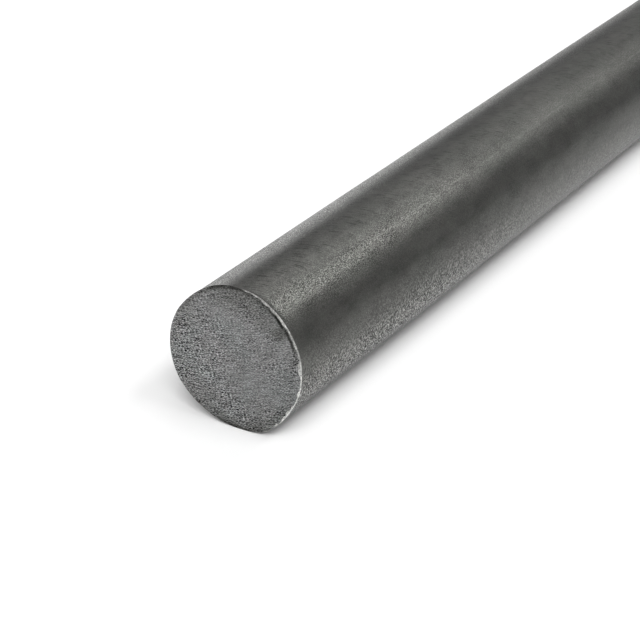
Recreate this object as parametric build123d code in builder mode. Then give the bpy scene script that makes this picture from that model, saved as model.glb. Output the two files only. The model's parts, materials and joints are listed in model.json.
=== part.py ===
"""Hot-rolled round steel bar, sawn to length and not deburred at its near end.

The frame has +X along the bar and +Z up, with its origin on the floor under the middle of the bar.
The near end, with the burr, faces -X. Lengths are in millimetres.
Directions round the bar are in degrees, from +Y towards +Z.
"""

import os
from math import cos, radians, sin

from build123d import *

# The rolled bar
diameter = 30.0
length = 1000.0  # over all, from the tip of the burr to the far end

# Hot rolling leaves the bar a little out of round: this is its section where it is sawn
lobes = [(2, 0.12, 125.0), (3, 0.19, -3.0), (4, 0.20, -14.0), (5, 0.07, 22.0)]  # (number, height, direction)
centre_shift = (0.11, 0.19)  # how far the section's centre is off the bar's axis, along +Y and +Z
fade_length = 60.0  # how far from the near end the section has become the nominal circle
outline_points = 36  # points that shape the section

# The burr, a thin lip along the side where the saw's teeth leave the cut
burr_direction = 160.0  # the middle of that side
burr_height = 0.3
burr_width = 0.35  # at its middle: it thins out towards its ends

# The far end is deburred
edge_break = 0.4

bar_radius = diameter / 2
near_x = -length / 2 + burr_height  # plane of the near sawn face
far_x = length / 2
round_x = near_x + fade_length  # from here on the bar is round
burr_back = (-burr_width * cos(radians(burr_direction)), -burr_width * sin(radians(burr_direction)))


def across(x):
    """The plane across the bar at x: its own x runs along +Y and its own y along +Z, from the bar's axis."""
    return Plane(origin=(x, 0, bar_radius), x_dir=(0, 1, 0), z_dir=(1, 0, 0))


def rolled_outline(shift=(0, 0)):
    """Points of the section at the near end: a circle with its lobes added, off the axis, then shifted."""
    points = []
    for step in range(outline_points):
        angle = 360 * step / outline_points
        radius = bar_radius + sum(height * cos(radians(count * (angle - way))) for count, height, way in lobes)
        y = radius * cos(radians(angle)) + centre_shift[0] + shift[0]
        z = radius * sin(radians(angle)) + centre_shift[1] + shift[1]
        points.append((y, z))
    return points


with BuildPart() as bar:
    # The round length
    with BuildSketch(across(round_x)):
        Circle(bar_radius)
    extrude(amount=far_x - round_x)
    chamfer(bar.edges().sort_by(Axis.X)[-1], edge_break)

    # The stretch from the round length to the near end
    with BuildSketch(across(round_x)):
        Circle(bar_radius)
    with BuildSketch(across(near_x)):
        with BuildLine():
            Spline(rolled_outline(), periodic=True)
        make_face()
    loft()

    # The burr: what is left of the near face once it is moved back by the burr's width
    with BuildSketch(across(near_x)):
        with BuildLine():
            Spline(rolled_outline(), periodic=True)
        make_face()
        with BuildLine():
            Spline(rolled_outline(burr_back), periodic=True)
        make_face(mode=Mode.SUBTRACT)
    extrude(amount=-burr_height)

bar.part.label = "bar"

os.makedirs("parts", exist_ok=True)
export_step(bar.part, "parts/bar.step")
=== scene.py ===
import json
from math import cos, pi, radians, sin

import bpy
import numpy as np
from mathutils import Matrix, Vector


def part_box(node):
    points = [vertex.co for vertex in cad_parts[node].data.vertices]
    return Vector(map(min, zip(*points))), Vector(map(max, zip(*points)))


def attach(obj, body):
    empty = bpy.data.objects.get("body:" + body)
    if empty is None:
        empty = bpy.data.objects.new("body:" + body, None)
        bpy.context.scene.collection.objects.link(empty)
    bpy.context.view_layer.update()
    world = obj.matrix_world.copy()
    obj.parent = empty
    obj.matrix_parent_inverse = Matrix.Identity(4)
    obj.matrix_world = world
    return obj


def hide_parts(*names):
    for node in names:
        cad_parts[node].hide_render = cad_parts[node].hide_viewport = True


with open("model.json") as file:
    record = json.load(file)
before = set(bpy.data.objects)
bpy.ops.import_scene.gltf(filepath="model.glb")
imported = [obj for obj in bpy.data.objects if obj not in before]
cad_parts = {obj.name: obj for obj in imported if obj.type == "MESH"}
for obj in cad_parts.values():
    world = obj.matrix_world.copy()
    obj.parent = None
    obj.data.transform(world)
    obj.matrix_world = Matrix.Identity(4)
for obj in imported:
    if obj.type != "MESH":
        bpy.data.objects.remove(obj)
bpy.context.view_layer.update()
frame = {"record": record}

# A hot-rolled round steel bar under its mill scale, sawn at both ends.
# The near end, facing -X, keeps its burr. Lengths are in metres. Angles go round the bar from +Y towards +Z.

MM = 0.001
chance = np.random.default_rng(30)

# Sizes that the CAD gives
bar_low, bar_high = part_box("bar")
shaft = next(mount for mount in frame["record"]["mounts"] if mount["name"] == "shaft")
SHAFT_LENGTH = shaft["dims"]["length_mm"] * MM
RADIUS = shaft["dims"]["r_mm"] * MM
AXIS_HEIGHT = shaft["pos_m"][2]
ROUND_START = shaft["pos_m"][0] - SHAFT_LENGTH / 2
FAR_EDGE = shaft["pos_m"][0] + SHAFT_LENGTH / 2
FAR_FACE = bar_high.x
BURR_TIP = bar_low.x

# The section where the bar is sawn, as in the CAD source: (number of lobes, height, direction in degrees)
LOBES = [(2, 0.12 * MM, 125.0), (3, 0.19 * MM, -3.0), (4, 0.20 * MM, -14.0), (5, 0.07 * MM, 22.0)]
CENTRE_SHIFT = (0.11 * MM, 0.19 * MM)

# The sawn end
BURR_HEIGHT = 0.3 * MM
NEAR_FACE = BURR_TIP + BURR_HEIGHT
RIM_ROUND = 0.07 * MM  # the edge where there is no burr
RELIEF_FADE = 0.03  # share of the sawn face's radius over which its relief fades out at the rim
MARKS_DIRECTION = radians(167)  # the way the teeth went
MARK_BOW = 5.5  # how much the tooth marks bow: 1 / m

# The skin
SEAM = radians(124)  # the direction of one of the two faint lines along the bar
SEAM_WIDTH = 0.35 * MM  # from the middle of the line to where it ends
SCRATCH_SLANT = radians(-58.6)  # the way of the scratches across the top of the bar

# The mesh
AROUND = 768  # points round the rim of the sawn face
SIDE = AROUND // 4  # squares along one side of the sawn face's grid
SKIN, SAWN, TORN = range(3)  # the numbers of the bar's materials
FIRST_GAPS = (0.1 * MM, 0.25 * MM, 0.45 * MM, 0.7 * MM, 1.0 * MM)  # from the rim to the skin's first rows
GAP = 0.4 * MM  # from there to the next row
NEAR_LENGTH = 0.2  # how far from the sawn face the rows stay close
NEAR_GROWTH, NEAR_GAP = 1.12, 2.2 * MM  # how much each gap grows there, and the widest one
FAR_GROWTH, FAR_GAP = 1.1, 14 * MM  # the same for the rest of the bar
LAST_GAP = 5 * MM  # the rows stop at least this far before the far edge
SETBACK = 0.02 * MM  # how far inside the skin the broken far edge starts

# The studio
FLOOR_RADIUS, FLOOR_SIDES = 25.0, 96
BACKDROP_RADIUS, BACKDROP_HEIGHT, BACKDROP_PANELS = 6.0, 1.0, 54
BACKDROP_ENDS = (-12, 150)  # where the backdrop starts and ends: degrees from +X towards +Y
BOARD_WHITE = (0.9, 0.9, 0.9, 1)
FLOOR_LIFT, BACKDROP_LIFT = 0.08, 0.5  # how much lighter the boards are where they are seen
ROOM = 0.22  # brightness of the room round it, where white is 1


def eased(t):
    """0 below 0, 1 above 1, and 3t^2 - 2t^3 between."""
    t = np.clip(t, 0, 1)
    return t * t * (3 - 2 * t)


def ripple(u, v, longest, shortest, count, stretch):
    """Even noise of height about 1 over the plane (u, v), made of count cosines.

    Their wavelengths run from longest to shortest, and stretch makes them that much longer along u.
    """
    wavelength = longest * (shortest / longest) ** chance.random(count)
    way = chance.random(count) * 2 * pi
    start = chance.random(count) * 2 * pi
    total = np.zeros(np.broadcast(u, v).shape)
    for wave in range(count):
        across = np.cos(way[wave]) * u / stretch + np.sin(way[wave]) * v
        total += np.cos(2 * pi * across / wavelength[wave] + start[wave])
    return total / np.sqrt(count / 2)


def ring_noise(angle, most, count, falloff=0.5):
    """Noise of height about 1 round a ring: count cosines of fewer than most turns.

    The ones of more turns are weaker, by turns^-falloff.
    """
    turns = chance.integers(1, most, count)
    weight = turns ** -falloff
    start = chance.random(count) * 2 * pi
    total = sum(w * np.cos(n * angle + s) for n, w, s in zip(turns, weight, start))
    return total / np.sqrt((weight**2).sum() / 2)


def turned(angle, start):
    """How far an angle is past start, from -pi to pi."""
    return (angle - start + pi) % (2 * pi) - pi


# ---------------------------------------------------------------- the bar's surface

# Faint waves of the rolled skin, each a cosine of (turns round the bar, length along it, start, height)
WAVE_COUNT = 40
WAVE_HEIGHT = 0.014 * MM
WAVE_DEPTH = 2.2 * WAVE_HEIGHT  # how far their middle lies under the true cylinder
LONGEST_WAVE, SHORTEST_SHARE = 0.26, 0.06  # along the bar, and the shortest one's share of it
LOWERING = 0.6  # the shorter a wave, the lower: as its length to this power
wave_turns = chance.integers(1, 26, WAVE_COUNT)
wave_lengths = LONGEST_WAVE * SHORTEST_SHARE ** chance.random(WAVE_COUNT)
wave_scales = 1 / np.hypot(wave_turns / RADIUS, 2 * pi / wave_lengths) ** LOWERING
wave_scales *= WAVE_HEIGHT / np.sqrt((wave_scales**2).sum() / 2)
WAVES = list(zip(wave_turns, wave_lengths, chance.random(WAVE_COUNT) * 2 * pi, wave_scales))


def rolled_wave(angle, x):
    """Height of the rolled skin over the true cylinder, along and round the bar. It is never above 0."""
    wave = sum(
        height * np.cos(turns * angle + 2 * pi * x / length + start) for turns, length, start, height in WAVES
    )
    return np.minimum(wave - WAVE_DEPTH, 0)


# How far the rim stands out at the sawn face, round it: (angle in degrees, distance in mm)
FLARE = np.array([
    (0, 0.0), (28, 0.25), (52, 0.11), (92, 0.11), (112, 0.5), (130, 0.44), (152, 0.1), (178, 0.05),
    (194, 0.22), (222, 0.0), (232, 0.0), (248, 0.24), (266, 0.07), (284, 0.3), (328, 0.3), (350, 0.02),
    (360, 0.0),
])
FLARE_REACH = 0.4 * MM


def skin(angle, x, inset=0.0):
    """Points of the rolled skin: a circle, with lobes and a shift of its centre that fade along the bar.

    Right at the sawn face it flares, fading as exp(-distance / FLARE_REACH). inset moves the points towards
    the axis. They are kept in the CAD's box, which its facets make a few hundredths of a millimetre smaller.
    """
    share = 1 - eased((x - NEAR_FACE) / (ROUND_START - NEAR_FACE))
    flare = np.interp(np.degrees(angle) % 360, FLARE[:, 0], FLARE[:, 1]) * MM
    radius = RADIUS + rolled_wave(angle, x) - inset
    for count, height, way in LOBES:
        radius = radius + share * height * np.cos(count * (angle - radians(way)))
    radius = radius + flare * np.exp(-np.maximum(x - NEAR_FACE, 0) / FLARE_REACH)
    y = radius * np.cos(angle) + share * CENTRE_SHIFT[0]
    z = AXIS_HEIGHT + radius * np.sin(angle) + share * CENTRE_SHIFT[1]
    return np.clip(np.stack(np.broadcast_arrays(x, y, z), axis=-1), bar_low, bar_high)


def along_teeth(y, z):
    """A place on the sawn face as (distance the way the teeth went, distance across their bowed marks)."""
    y, z = y - CENTRE_SHIFT[0], z - AXIS_HEIGHT - CENTRE_SHIFT[1]
    along = y * cos(MARKS_DIRECTION) + z * sin(MARKS_DIRECTION)
    across = y * sin(MARKS_DIRECTION) - z * cos(MARKS_DIRECTION)
    return along, across - MARK_BOW * along**2


def sawn_relief(y, z):
    """Height of the sawn face over its own plane: shallow rolls across the tooth marks, and short marks."""
    along, across = along_teeth(y, z)
    rolls = ripple(along, across, 9 * MM, 3 * MM, 12, stretch=3.0) * 0.012 * MM
    marks = ripple(along, across, 1.2 * MM, 0.35 * MM, 90, stretch=4.0) * 0.006 * MM
    return rolls + marks


# The burr round the rim: (angle in degrees, share of its full height, width in mm, how bright its metal is,
# which is partly painted highlight where its crest catches the lamps)
BURR = np.array([
    (92, 0.0, 0.13, 0.0), (100, 0.08, 0.2, 0.45), (110, 0.12, 0.3, 0.5), (120, 0.15, 0.4, 0.45),
    (130, 0.3, 0.38, 0.5), (140, 0.6, 0.38, 0.65), (150, 0.7, 0.32, 0.65), (160, 0.75, 0.33, 0.5),
    (168, 0.85, 0.56, 0.6), (178, 0.95, 0.6, 0.8), (190, 0.9, 0.44, 1.0), (200, 0.9, 0.4, 1.0),
    (210, 0.9, 0.34, 0.95), (220, 0.9, 0.5, 1.0), (230, 0.6, 0.3, 0.95), (240, 0.3, 0.2, 0.6),
    (250, 0.1, 0.15, 0.35), (258, 0.0, 0.13, 0.0),
])
BURR_SHARE, BURR_WIDTH, BURR_BRIGHT = 1, 2, 3  # the table's columns
ONLY_BURR = 0.08  # share of the full height from which the rounded edge has given way to the burr

# The burr's section, from the sawn face over its tip to the skin: (share of its width, share of its height)
LIP = [(1.0, 0.0), (0.72, 0.35), (0.45, 0.82), (0.2, 1.0), (0.04, 0.8), (0.0, 0.0)]


def burr_at(angle, column):
    """One column of the burr's table at each angle, straight between its rows and 0 outside it."""
    return np.interp(np.degrees(angle) % 360, BURR[:, 0], BURR[:, column], left=0, right=0)


def near_rim(angle):
    """Rows of points over the rim, from the sawn face to the skin.

    On one side they go up a thin ragged lip and down outside it; on the other they go round a small radius.
    """
    ragged = 1 + 0.2 * ring_noise(angle, 40, 24) + 0.25 * ring_noise(angle, 240, 120, 0.2)
    height = BURR_HEIGHT * np.clip(burr_at(angle, BURR_SHARE) * ragged, 0, 0.98)
    burr = eased(burr_at(angle, BURR_SHARE) / ONLY_BURR)
    width = burr_at(angle, BURR_WIDTH) * MM * np.clip(1 + 0.3 * ring_noise(angle, 60, 40, 0.2), 0.4, 1.6)
    corner = RIM_ROUND * np.clip(1 + 0.35 * ring_noise(angle, 24, 16), 0.3, 2)
    rows = []
    for (thick, tall), turn in zip(LIP, np.linspace(0, pi / 2, len(LIP))):
        inset = burr * width * thick + (1 - burr) * corner * (1 - sin(turn))
        x = NEAR_FACE - height * tall + (1 - burr) * corner * (1 - cos(turn))
        rows.append(skin(angle, x, inset))
    return rows


# Dark places on the sawn face: (angle in degrees, depth inside the rim in mm, reach round the rim in degrees,
# reach across it in mm, strength). The one at 268 degrees, just inside the bottom of the rim, is painted
# shade where the bar meets the floor.
DARK = [
    (84, 0.2, 17, 0.35, 0.75), (112, 0.5, 13, 0.6, 0.35), (126, 0.3, 12, 0.28, 0.9),
    (145, 0.5, 13, 0.28, 0.85), (141, 2.0, 5, 1.5, 0.45), (162, 0.7, 7, 0.25, 0.3),
    (58, 0.3, 22, 0.5, 0.25), (20, 1.2, 25, 0.9, 0.12), (268, 0.15, 17, 0.4, 0.75),
    (250, 1.0, 30, 0.9, 0.22), (300, 0.8, 25, 1.1, 0.15), (330, 3.0, 18, 2.5, 0.06),
    (104, 2.2, 30, 2.4, 0.28), (80, 1.6, 16, 1.6, 0.12), (32, 2.6, 13, 2.4, 0.1),
    (246, 2.2, 15, 2.2, 0.1), (300, 2.6, 14, 2.4, 0.1),
]


def darkened(angle, depth):
    """How dark the sawn face is, 0 to 1: each dark place fades as exp(-(distance / reach)^4 / 2)."""
    light = 1.0
    for way, middle, round_it, across, strength in DARK:
        away = (turned(angle, radians(way)) / radians(round_it)) ** 4 + ((depth / MM - middle) / across) ** 4
        light = light * (1 - strength * np.exp(-away / 2))
    return 1 - light


# The mill scale round the bar: (angle in degrees, how light it is, strength of its grain, share of the grain
# that is drawn out round the bar, how much of the grain is lost further along the bar). How light each band
# is was set under the lamps below, so it holds painted light and shade as well as the scale's own bands: the
# dark band at 216 to 232 degrees is painted shade, a dark line along the bar's lower edge where it reflects
# its shadow on the floor, and the lighter bands at 40 to 72 degrees and at 202 degrees are painted
# highlights.
# The grain is strong in the bands that the lamps make bright and faint in the dark ones, so its strength is
# partly painted glint. The grain is lost as if the bar went out of focus.
SCALE = np.array([
    (40, 1.08, 1.9, 1.0, 0.3), (62, 1.08, 2.0, 0.9, 0.3), (72, 1.02, 1.9, 0.5, 0.3), (78, 0.8, 1.3, 0.2, 0.3),
    (84, 0.97, 0.55, 0.0, 0.3), (90, 1.07, 0.3, 0.0, 0.5), (96, 1.0, 0.3, 0.0, 0.5),
    (103, 0.86, 0.34, 0.0, 0.5), (109, 0.9, 0.55, 0.0, 0.5), (114, 1.03, 0.85, 0.0, 0.5),
    (120, 1.08, 1.35, 0.0, 0.6),
    (127, 1.04, 1.35, 0.0, 0.6), (133, 0.96, 1.0, 0.0, 0.5), (139, 1.02, 0.55, 0.0, 0.3),
    (145, 1.13, 0.32, 0.0, 0.0), (151, 1.05, 0.32, 0.0, 0.0), (157, 0.82, 0.32, 0.1, 0.0),
    (163, 0.82, 0.7, 0.3, 0.4), (169, 0.84, 1.0, 0.45, 0.6), (175, 0.93, 1.4, 0.6, 0.7),
    (182, 1.06, 2.0, 0.8, 0.75), (190, 1.12, 2.4, 0.95, 0.75), (199, 1.05, 2.8, 1.0, 0.75),
    (202, 1.12, 2.8, 1.0, 0.75), (205, 1.0, 2.6, 1.0, 0.75), (211, 0.86, 2.2, 1.0, 0.75),
    (216, 0.5, 1.6, 1.0, 0.7), (224, 0.45, 1.2, 0.8, 0.6), (232, 0.6, 1.2, 0.7, 0.5),
    (242, 0.94, 1.2, 0.6, 0.3), (262, 1.0, 0.6, 0.2, 0.0), (290, 1.0, 1.1, 0.4, 0.0),
    (318, 1.0, 0.6, 0.4, 0.0), (345, 1.0, 1.3, 1.0, 0.0), (400, 1.08, 1.9, 1.0, 0.3),
])
SCALE_START = SCALE[0, 0]  # the table covers one turn from here
WAVER = 1.1  # degrees
WAVERS = [(0.31, 1.0), (0.12, 2.6), (0.045, 0.4), (0.019, 5.0)]  # (wavelength along the bar, start)
LOSS_START = 2 * RADIUS  # how far from the sawn face the grain starts to be lost
LOSS_LENGTH = 5.5 * RADIUS


def scale_and_painted_light_at(angle, x):
    """How light the scale is at each point, partly painted light and shade, how strong its grain is, and how
    much of it is drawn out round.

    The grain's bands waver by a few degrees along the bar.
    """
    waver = WAVER * sum(np.cos(2 * pi * x / length + start) for length, start in WAVERS)
    place = np.degrees(angle) % 360
    wavering = (place + waver - SCALE_START) % 360 + SCALE_START
    light = np.interp((place - SCALE_START) % 360 + SCALE_START, SCALE[:, 0], SCALE[:, 1])
    grain, drawn, lost = (np.interp(wavering, SCALE[:, 0], SCALE[:, column]) for column in (2, 3, 4))
    along = eased((x - NEAR_FACE - LOSS_START) / LOSS_LENGTH)
    return light, grain * (1 - lost * along), drawn


# How strongly the tooth marks stand out at the rim of the sawn face, round it; in its middle they do by 1
SCORED = np.array([
    (0, 2.0), (30, 1.6), (60, 1.2), (90, 1.0), (120, 1.0), (150, 1.0), (180, 1.05), (210, 1.1), (240, 1.3),
    (270, 1.6), (300, 1.6), (330, 1.8), (360, 2.0),
])
SCORED_RISE = 1.3  # the table's value is reached at 1 / 1.3 of the way from the middle to the rim


def scored(angle, depth):
    """How strongly the tooth marks stand out: 1 in the middle, eased to the table's value near the rim."""
    at_rim = np.interp(np.degrees(angle) % 360, SCORED[:, 0], SCORED[:, 1])
    return 1 + (at_rim - 1) * eased(SCORED_RISE * (1 - depth / RADIUS))


# ---------------------------------------------------------------- the bar's mesh


def square_to_disc(side):
    """A square grid drawn onto the unit disc: each square ring becomes a circle of evenly spaced points."""
    step = np.linspace(-1, 1, side + 1)
    a, b = np.meshgrid(step, step, indexing="ij")
    wide = np.abs(a) >= np.abs(b)
    reach = np.where(wide, a, b)
    safe = np.where(reach == 0, 1, reach)
    turn = np.where(wide, pi / 4 * b / safe, pi / 2 - pi / 4 * a / safe)
    return reach * np.cos(turn), reach * np.sin(turn)


def edge_loop(side):
    """Indices of a square grid's edge points, in order round it, starting from the corner (low, low)."""
    index = np.arange((side + 1) ** 2).reshape(side + 1, side + 1)
    return np.concatenate([index[0, :-1], index[:-1, -1], index[-1, :0:-1], index[:0:-1, 0]])


class Shell:
    """The mesh as it is put together: points, and faces with the number of their material."""

    def __init__(self):
        self.points = []
        self.insets = []
        self.faces = []
        self.kinds = []
        self.count = 0

    def add(self, points, inset=0.0):
        """Adds points, with how far each lies inside the near rim, and gives their indices."""
        points = np.asarray(points).reshape(-1, 3)
        self.points.append(points)
        self.insets.append(np.broadcast_to(inset, len(points)))
        self.count += len(points)
        return np.arange(self.count - len(points), self.count)

    def fill(self, kind, *corners):
        """Faces whose corners are the arrays of indices given."""
        faces = np.stack([np.asarray(c).ravel() for c in corners], axis=1)
        self.faces += faces.tolist()
        self.kinds += [kind] * len(faces)

    def band(self, kind, first, second):
        """Quads between two rings of as many points."""
        self.fill(kind, first, second, np.roll(second, -1), np.roll(first, -1))

    def halve(self, kind, first, second):
        """Triangles between a ring and one with half as many points."""
        even, odd, after = first[0::2], first[1::2], np.roll(first[0::2], -1)
        self.fill(kind, even, second, odd)
        self.fill(kind, odd, second, np.roll(second, -1))
        self.fill(kind, odd, np.roll(second, -1), after)

    def piece(self, name, finishes):
        """The finished object, at the origin, smooth shaded."""
        mesh = bpy.data.meshes.new(name)
        mesh.from_pydata(np.concatenate(self.points).tolist(), [], self.faces)
        for finish in finishes:
            mesh.materials.append(finish)
        mesh.polygons.foreach_set("material_index", self.kinds)
        mesh.polygons.foreach_set("use_smooth", [True] * len(self.faces))
        x, y, z = np.concatenate(self.points).T
        angle, depth = np.arctan2(z - AXIS_HEIGHT, y), np.concatenate(self.insets)
        light, grain, drawn = scale_and_painted_light_at(angle, x)
        near_end = x < 0
        marks = {
            # dark places on the sawn face, one of them painted shade at the bottom of the rim
            "dark": np.where(near_end, darkened(angle, depth), 0.0),
            "scored": np.where(near_end, scored(angle, depth), 1.0),
            # how bright the burr's metal is, partly painted highlight
            "bright": burr_at(angle, BURR_BRIGHT),
            # how light the scale is: partly painted light and shade
            "light": light,
            "grain": grain,
            "drawn": drawn,
        }
        for mark, values in marks.items():
            mesh.attributes.new(mark, "FLOAT", "POINT").data.foreach_set("value", values)
        mesh.validate()
        made = bpy.data.objects.new(name, mesh)
        bpy.context.scene.collection.objects.link(made)
        return made


def sawn_face(reach, turn, angles, rim):
    """Points of the sawn face, with how far each lies inside the rim.

    reach and turn place them on a unit disc, and rim is the ring of points, at angles, that its edge lies on.
    """
    order = np.argsort(angles)
    edge_x, edge_y, edge_z = (
        np.interp(turn, angles[order], rim[order, axis], period=2 * pi) for axis in range(3)
    )
    hub_y, hub_z = CENTRE_SHIFT[0], AXIS_HEIGHT + CENTRE_SHIFT[1]
    y = hub_y + reach * (edge_y - hub_y)
    z = hub_z + reach * (edge_z - hub_z)
    inside = eased((1 - reach) / RELIEF_FADE)
    x = NEAR_FACE + (edge_x - NEAR_FACE) * (1 - inside) - sawn_relief(y, z) * inside
    return np.stack([x, y, z], axis=-1), (1 - reach) * RADIUS


def skin_rows(start):
    """Places of the skin's rows along the bar, which grow apart from start to the far edge.

    Gives them with the numbers of the rows at which the points round the bar get fewer by half.
    """
    rows = [start + gap for gap in FIRST_GAPS]
    halvings = [len(rows)]
    gap = GAP
    while rows[-1] + gap < NEAR_FACE + NEAR_LENGTH:
        rows.append(rows[-1] + gap)
        gap = min(gap * NEAR_GROWTH, NEAR_GAP)
    halvings.append(len(rows))
    while rows[-1] + gap < FAR_EDGE - LAST_GAP:
        rows.append(rows[-1] + gap)
        gap = min(gap * FAR_GROWTH, FAR_GAP)
    return rows + [FAR_EDGE], halvings


def far_end(angles):
    """Rings of points over the broken far edge and inwards over the far face, and the point in its middle."""
    edge_break = FAR_FACE - FAR_EDGE
    rings = []
    for along, inset in [(0.1, 0.0), (0.55, 0.42), (1.0, 1.0)]:
        rings.append(skin(angles, FAR_EDGE + along * edge_break, inset * edge_break + SETBACK))
    rim = skin(angles, FAR_FACE, edge_break)
    middle = np.array([FAR_FACE, 0, AXIS_HEIGHT])
    for share in (0.97, 0.8, 0.55, 0.3, 0.1):
        rings.append((rim - middle) * share + middle)
    return rings, middle


def round_bar(finishes):
    """The whole bar as one closed piece: sawn face, rim, skin in ever coarser rows, far edge and far face."""
    shell = Shell()

    # The sawn face: the grid drawn onto the disc, its edge on the rim's first row
    disc_a, disc_b = square_to_disc(SIDE)
    reach = np.hypot(disc_a, disc_b).ravel()
    turn = np.arctan2(disc_b, disc_a).ravel()
    loop = edge_loop(SIDE)
    angles = turn[loop]
    rim = near_rim(angles)
    face = shell.add(*sawn_face(reach, turn, angles, rim[0]))
    grid = face.reshape(SIDE + 1, SIDE + 1)
    shell.fill(SAWN, grid[:-1, :-1], grid[:-1, 1:], grid[1:, 1:], grid[1:, :-1])

    # The rim
    ring = face[loop]
    for row in rim[1:]:
        after = shell.add(row)
        shell.band(TORN, ring, after)
        ring = after

    # The skin
    rows, halvings = skin_rows(rim[-1][:, 0].max())
    for number, x in enumerate(rows):
        join = shell.band
        if number in halvings:
            angles = angles[::2]
            join = shell.halve
        after = shell.add(skin(angles, x))
        join(SKIN, ring, after)
        ring = after

    # The far edge and the far face
    rings, middle = far_end(angles)
    for row in rings:
        after = shell.add(row)
        shell.band(SAWN, ring, after)
        ring = after
    hub = shell.add(middle)
    shell.fill(SAWN, ring, np.full(len(ring), hub[0]), np.roll(ring, -1))
    return shell.piece("round_bar", finishes)


# ---------------------------------------------------------------- materials

# The colours that each material goes between, before its lighter and darker places
SCALE_GREENISH, SCALE_BROWNISH = (0.1078, 0.1093, 0.1017), (0.1108, 0.1103, 0.1037)
SAWN_GREY, SAWN_TEAL, SAWN_OLIVE = (0.226, 0.226, 0.2255), (0.216, 0.222, 0.2205), (0.222, 0.222, 0.205)
# The rounded edge without a burr gets the dark colour as painted shade, and the burr's bright metal is partly
# painted highlight
TORN_DARK_AND_PAINTED_SHADE, TORN_BRIGHT_AND_PAINTED_HIGHLIGHT = (0.05, 0.05, 0.048), (0.95, 0.95, 0.92)
DARKEST = 0.02  # the least share of its colour that a place keeps


class Value:
    """One output of a material's nodes. Sums with it add Math nodes."""

    def __init__(self, finish, socket):
        self.finish = finish
        self.socket = socket

    def maths(self, operation, *terms):
        return self.finish.node("ShaderNodeMath", {"operation": operation}, dict(enumerate(terms)))

    def __add__(self, other):
        return self.maths("ADD", self, other)

    def __sub__(self, other):
        return self.maths("SUBTRACT", self, other)

    def __rsub__(self, other):
        return self.maths("SUBTRACT", other, self)

    def __mul__(self, other):
        return self.maths("MULTIPLY", self, other)

    __radd__, __rmul__ = __add__, __mul__


class Finish:
    """A material and its nodes."""

    def __init__(self, name):
        self.material = bpy.data.materials.new(name)
        self.material.use_nodes = True
        self.tree = self.material.node_tree
        self.tree.nodes.clear()
        self.place = self.node("ShaderNodeTexCoord", {}, {}, out="Object")

    def node(self, kind, settings, sockets, out=0):
        """Adds a node: its settings first, then its sockets' values or links. Gives one of its outputs."""
        made = self.tree.nodes.new(kind)
        for key, setting in settings.items():
            setattr(made, key, setting)
        for key, given in sockets.items():
            socket = made.inputs[key]
            if isinstance(given, Value):
                self.tree.links.new(given.socket, socket)
            else:
                socket.default_value = given
        return Value(self, made.outputs[out]) if made.outputs else None

    def vector(self, operation, *terms, out=0):
        return self.node("ShaderNodeVectorMath", {"operation": operation}, dict(enumerate(terms)), out)

    def vector_of(self, *values):
        """Three values as a vector, or one value three times, as a grey."""
        three = values if len(values) == 3 else values * 3
        return self.node("ShaderNodeCombineXYZ", {}, dict(enumerate(three)))

    def distance(self, place, x, y, z):
        """How far a place lies along the direction (x, y, z)."""
        return self.vector("DOT_PRODUCT", place, (x, y, z), out=1)

    def stretched(self, x, y, z):
        """The place, with its distances along each axis multiplied."""
        return self.vector("MULTIPLY", self.place, (x, y, z))

    def noise(self, place, scale, detail, roughness):
        sockets = {"Vector": place, "Scale": scale, "Detail": detail, "Roughness": roughness}
        return self.node("ShaderNodeTexNoise", {}, sockets)

    def step(self, value, low, high, bottom=0.0, top=1.0):
        """value from low to high, eased, becomes bottom to top."""
        sockets = dict(enumerate((value, low, high, bottom, top)))
        return self.node("ShaderNodeMapRange", {"interpolation_type": "SMOOTHSTEP"}, sockets)

    def blend(self, share, first, second):
        """A colour between two."""
        first, second = (colour if isinstance(colour, Value) else (*colour, 1) for colour in (first, second))
        return self.node("ShaderNodeMix", {"data_type": "RGBA"}, {0: share, 6: first, 7: second}, out=2)

    def lit(self, tint, light):
        """A colour made lighter or darker, but never quite black."""
        return self.vector("MULTIPLY", tint, self.vector_of(light.maths("MAXIMUM", light, DARKEST)))

    def mark(self, name):
        """A value that the mesh holds at its points."""
        return self.node("ShaderNodeAttribute", {"attribute_name": name}, {}, out="Fac")

    def bump(self, height, strength, distance):
        return self.node("ShaderNodeBump", {}, {"Height": height, "Strength": strength, "Distance": distance})

    def surface(self, sockets):
        """Ends the material with a Principled surface."""
        shader = self.node("ShaderNodeBsdfPrincipled", {}, sockets)
        self.node("ShaderNodeOutputMaterial", {}, {"Surface": shader})
        return self.material


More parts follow.
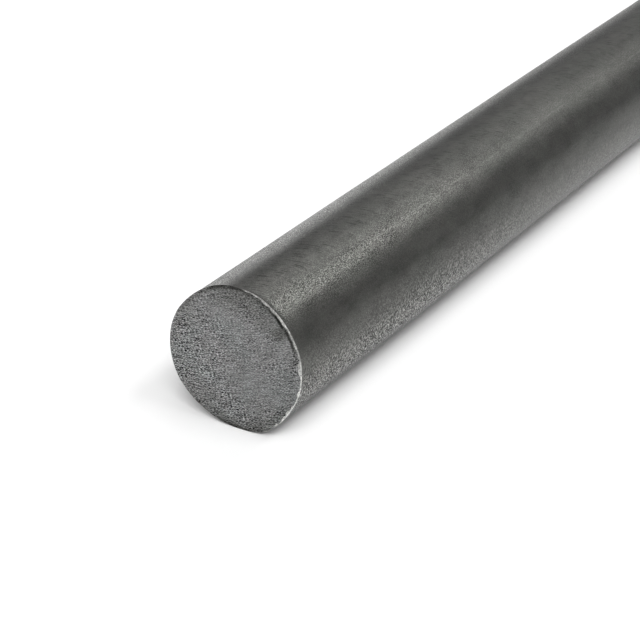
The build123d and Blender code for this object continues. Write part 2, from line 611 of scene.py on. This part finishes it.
def mill_scale():
    """Oxide from the rolling mill: satin, dark grey with a touch of olive and green, and a fine bright grain.

    A bright grain is also a smooth one. The grain is strong in some bands along the bar and faint in others,
    and down both sides it is drawn out round the bar.
    """
    finish = Finish("mill_scale")
    clouds = finish.noise(finish.stretched(0.3, 1, 1), 110, 4, 0.6)
    blotches = finish.noise(finish.stretched(0.6, 1, 1), 330, 3, 0.6)
    hues = finish.noise(finish.stretched(0.5, 1, 1), 170, 3, 0.6)
    streaks = finish.noise(finish.stretched(0.02, 1, 1), 700, 2, 0.6)
    coarse = finish.noise(finish.place, 1500, 3, 0.65)
    dots = finish.step(finish.noise(finish.place, 4500, 1, 0.5), 0.42, 0.66)
    strokes = finish.step(finish.noise(finish.stretched(1, 0.8, 0.5), 4300, 1, 0.5), 0.42, 0.66)
    grain = finish.mark("grain") * (dots + finish.mark("drawn") * (strokes - dots) - 0.36)
    tint = finish.blend(finish.step(hues, 0.4, 0.6), SCALE_GREENISH, SCALE_BROWNISH)
    light = 0.96 + grain + 0.7 * (clouds - 0.5) + 0.7 * (blotches - 0.5) + 0.3 * (coarse - 0.5)
    light = light + 0.25 * (streaks - 0.5) + 0.22 * seams(finish)
    # The scale table's lightness multiplies it all. It holds painted light and shade as well as the scale's
    # own bands.
    light = finish.mark("light") * (light - 0.38 * scratches(finish))
    return finish.surface({
        "Base Color": finish.lit(tint, light),
        "Metallic": 1.0,
        "Roughness": 0.42 - 0.15 * grain + 0.12 * (clouds - 0.5) + 0.06 * (coarse - 0.5),
        "Normal": finish.bump(0.5 * coarse + 0.3 * grain, 0.25, 0.06 * MM),
    })


def seams(finish):
    """Two faint broken lines along the bar, opposite each other: 1 on a line, 0 away from it."""
    y = finish.distance(finish.place, 0, 1, 0)
    z = finish.distance(finish.place, 0, 0, 1) - AXIS_HEIGHT
    waver = finish.noise(finish.stretched(1, 0, 0), 40, 3, 0.6)
    off_line = y * sin(SEAM) - z * cos(SEAM) + 0.8 * MM * (waver - 0.5)
    broken = finish.step(finish.noise(finish.stretched(0.1, 1, 1), 1500, 2, 0.6), 0.4, 0.6)
    return finish.step(off_line * off_line, 0.0, SEAM_WIDTH**2, 1.0, 0.0) * broken


def scratches(finish):
    """Short fine scratches, slanting one way across the smooth top of the bar: 1 on a scratch, 0 off it."""
    along = finish.distance(finish.place, cos(SCRATCH_SLANT), sin(SCRATCH_SLANT), 0)
    across = finish.distance(finish.place, -sin(SCRATCH_SLANT), cos(SCRATCH_SLANT), 0)
    height = finish.distance(finish.place, 0, 0, 1)
    top = finish.step(height, AXIS_HEIGHT + 0.88 * RADIUS, AXIS_HEIGHT + 0.96 * RADIUS)
    smooth = finish.step(finish.mark("grain"), 0.45, 0.8, 1.0, 0.0)
    lines = finish.noise(finish.vector_of(0.12 * along, across, 0.0), 2600, 1, 0.5)
    return finish.step(lines, 0.56, 0.64) * top * smooth


def sawn_steel():
    """Steel as the saw left it: dense short tooth marks all one way, dull, and dark in places along the rim.
    The dark place at the bottom of the rim is painted shade where the bar meets the floor, and the face is a
    little darker the further it lies the way the teeth went.

    The marks are noise over (distance along them, distance across them), as along_teeth gives it.
    """
    finish = Finish("sawn_steel")
    place = finish.place
    level = finish.vector("SUBTRACT", place, (0, CENTRE_SHIFT[0], AXIS_HEIGHT + CENTRE_SHIFT[1]))
    along = finish.distance(level, 0, cos(MARKS_DIRECTION), sin(MARKS_DIRECTION))
    across = finish.distance(level, 0, sin(MARKS_DIRECTION), -cos(MARKS_DIRECTION)) - MARK_BOW * along * along
    fine = finish.step(finish.noise(finish.vector_of(along * 0.26, across, 0.0), 8200, 1, 0.5), 0.42, 0.7)
    lines = finish.step(finish.noise(finish.vector_of(along * 0.08, across, 0.0), 4000, 1, 0.5), 0.35, 0.65)
    patches = finish.noise(place, 200, 3, 0.6)
    calm = finish.step(finish.noise(place, 150, 1, 0.5), 0.35, 0.7, 1.0, 0.6)
    flecks = finish.noise(place, 1400, 2, 0.6)
    # the dark places, one of them painted shade at the bottom of the rim, above the floor
    dark = finish.mark("dark") * finish.step(patches + 0.5 * flecks, 0.5, 0.8, 0.6, 1.0)
    light = 1.05 + finish.mark("scored") * calm * (1.6 * (fine - 0.36) + 0.6 * (lines - 0.5))
    light = (light + 0.45 * (patches - 0.5) - 4.0 * along) * (1 - dark)
    teal = finish.step(finish.noise(place, 130, 2, 0.5), 0.45, 0.62)
    tint = finish.blend(dark, finish.blend(teal, SAWN_GREY, SAWN_TEAL), SAWN_OLIVE)
    return finish.surface({
        "Base Color": finish.lit(tint, light),
        "Metallic": 1.0,
        "Roughness": 0.52 - 0.14 * fine,
        "Normal": finish.bump(fine + lines, 0.35, 0.06 * MM),
    })


def torn_burr():
    """The torn metal of the burr, bright where its table says, partly as a painted highlight, and the rounded
    edge where there is no burr, kept dark as painted shade.
    """
    finish = Finish("torn_burr")
    ragged = finish.noise(finish.place, 1500, 3, 0.6)
    torn = finish.step(finish.noise(finish.place, 2600, 2, 0.6), 0.35, 0.65, 0.4, 1.0)
    return finish.surface({
        "Base Color": finish.blend(finish.mark("bright") * torn, TORN_DARK_AND_PAINTED_SHADE, TORN_BRIGHT_AND_PAINTED_HIGHLIGHT),
        "Metallic": 1.0,
        "Roughness": 0.4,
        "Normal": finish.bump(ragged, 0.4, 0.1 * MM),
    })


def white_board(name, lift):
    """White board. The light paths that see it straight or in metal get lift more, to reach white."""
    finish = Finish(name)
    camera, glossy, through = (
        finish.node("ShaderNodeLightPath", {}, {}, out=f"Is {ray} Ray")
        for ray in ("Camera", "Glossy", "Transmission")
    )
    seen = camera.maths("MAXIMUM", camera, camera.maths("MAXIMUM", glossy, through))
    return finish.surface({
        "Base Color": BOARD_WHITE,
        "Roughness": 1.0,
        "Specular IOR Level": 0.0,
        "Emission Color": finish.vector_of(seen * lift),
        "Emission Strength": 1.0,
    })


# ---------------------------------------------------------------- the scene

bar = round_bar([mill_scale(), sawn_steel(), torn_burr()])
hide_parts("bar")
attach(bar, "root")


def stand(name, points, faces, finish):
    """A piece of the studio, which isn't part of the bar."""
    mesh = bpy.data.meshes.new(name)
    mesh.from_pydata(points.tolist(), [], faces)
    mesh.materials.append(finish)
    made = bpy.data.objects.new(name, mesh)
    bpy.context.scene.collection.objects.link(made)


def on_floor(radius, turns):
    """Points on the floor, on a circle round the origin."""
    return radius * np.stack([np.cos(turns), np.sin(turns), 0 * turns], axis=1)


# The floor is a disc, far wider than the bar
outline = on_floor(FLOOR_RADIUS, np.linspace(0, 2 * pi, FLOOR_SIDES + 1)[:-1])
stand("floor", outline, [list(range(FLOOR_SIDES))], white_board("floor_board", FLOOR_LIFT))

# The backdrop stands round the side that the camera looks to: a low curved wall
posts = BACKDROP_PANELS + 1
foot = on_floor(BACKDROP_RADIUS, np.radians(np.linspace(*BACKDROP_ENDS, posts)))
walls = [[n, n + 1, n + 1 + posts, n + posts] for n in range(BACKDROP_PANELS)]
backdrop_points = np.concatenate([foot, foot + [0, 0, BACKDROP_HEIGHT]])
stand("backdrop", backdrop_points, walls, white_board("backdrop_board", BACKDROP_LIFT))

# The room: an even grey
world = bpy.data.worlds.new("room")
world.use_nodes = True
world.node_tree.nodes["Background"].inputs["Color"].default_value = (ROOM, ROOM, ROOM, 1)
bpy.context.scene.world = world

# The soft boxes, which all face the bar's near end: (name, direction round the bar in degrees, lean from
# there towards +X in degrees, distance, side of its face along the bar, side round it, brightness)
LAMPS = [
    ("key", 124, 6, 2.4, 0.8, 0.6, 8.8),
    ("high_key", 93, 8, 2.4, 1.6, 0.8, 0.5),
    ("front", 114, -36, 2.4, 1.3, 1.0, 11.2),
    ("low_side", 137, -10, 2.4, 0.8, 0.5, 3.0),
    ("upper_band", 114, 47, 2.2, 0.5, 0.35, 4.7),
    ("lower_band", 122, 47, 2.2, 0.5, 0.35, 5.4),
    ("overhead", 85, 47, 2.2, 0.5, 1.1, 3.55),
    ("far_side", 45, 47, 2.2, 0.5, 1.1, 0.3),
    ("rim", 10, 47, 2.2, 0.5, 0.8, 2.0),
]


def soft_lamp(name, direction, lean, distance, along, around, glow):
    """One of the soft boxes, as its row of the table gives it."""
    a, t = radians(direction), radians(lean)
    back = Vector((sin(t), cos(t) * cos(a), cos(t) * sin(a)))
    side = (Vector((1, 0, 0)) - back.x * back).normalized()
    lamp = bpy.data.lights.new(name, "AREA")
    lamp.shape = "RECTANGLE"
    lamp.size = along
    lamp.size_y = around
    lamp.energy = glow * pi * along * around
    made = bpy.data.objects.new(name, lamp)
    bpy.context.scene.collection.objects.link(made)
    made.matrix_world = Matrix((side, back.cross(side), back)).transposed().to_4x4()
    made.location = Vector((NEAR_FACE, 0, AXIS_HEIGHT)) + distance * back


for row in LAMPS:
    soft_lamp(*row)

# The camera
CAMERA_PLACE = Vector((-18.265, -12.3818, 12.7253))  # from the floor under the sawn face, in radii of the bar
CAMERA_YAW, CAMERA_PITCH = radians(31.352), radians(26.851)  # from +X towards +Y, and down
camera = bpy.data.cameras.new("camera")
camera.sensor_width = 36.0
camera.lens = 110.615
camera.clip_start = 0.01
camera_object = bpy.data.objects.new("camera", camera)
bpy.context.scene.collection.objects.link(camera_object)
camera_object.location = Vector((NEAR_FACE, 0, 0)) + RADIUS * CAMERA_PLACE
ahead = (cos(CAMERA_PITCH) * cos(CAMERA_YAW), cos(CAMERA_PITCH) * sin(CAMERA_YAW), -sin(CAMERA_PITCH))
camera_object.rotation_euler = Vector(ahead).to_track_quat("-Z", "Y").to_euler()
bpy.context.scene.camera = camera_object

bpy.context.scene.view_settings.view_transform = "Standard"
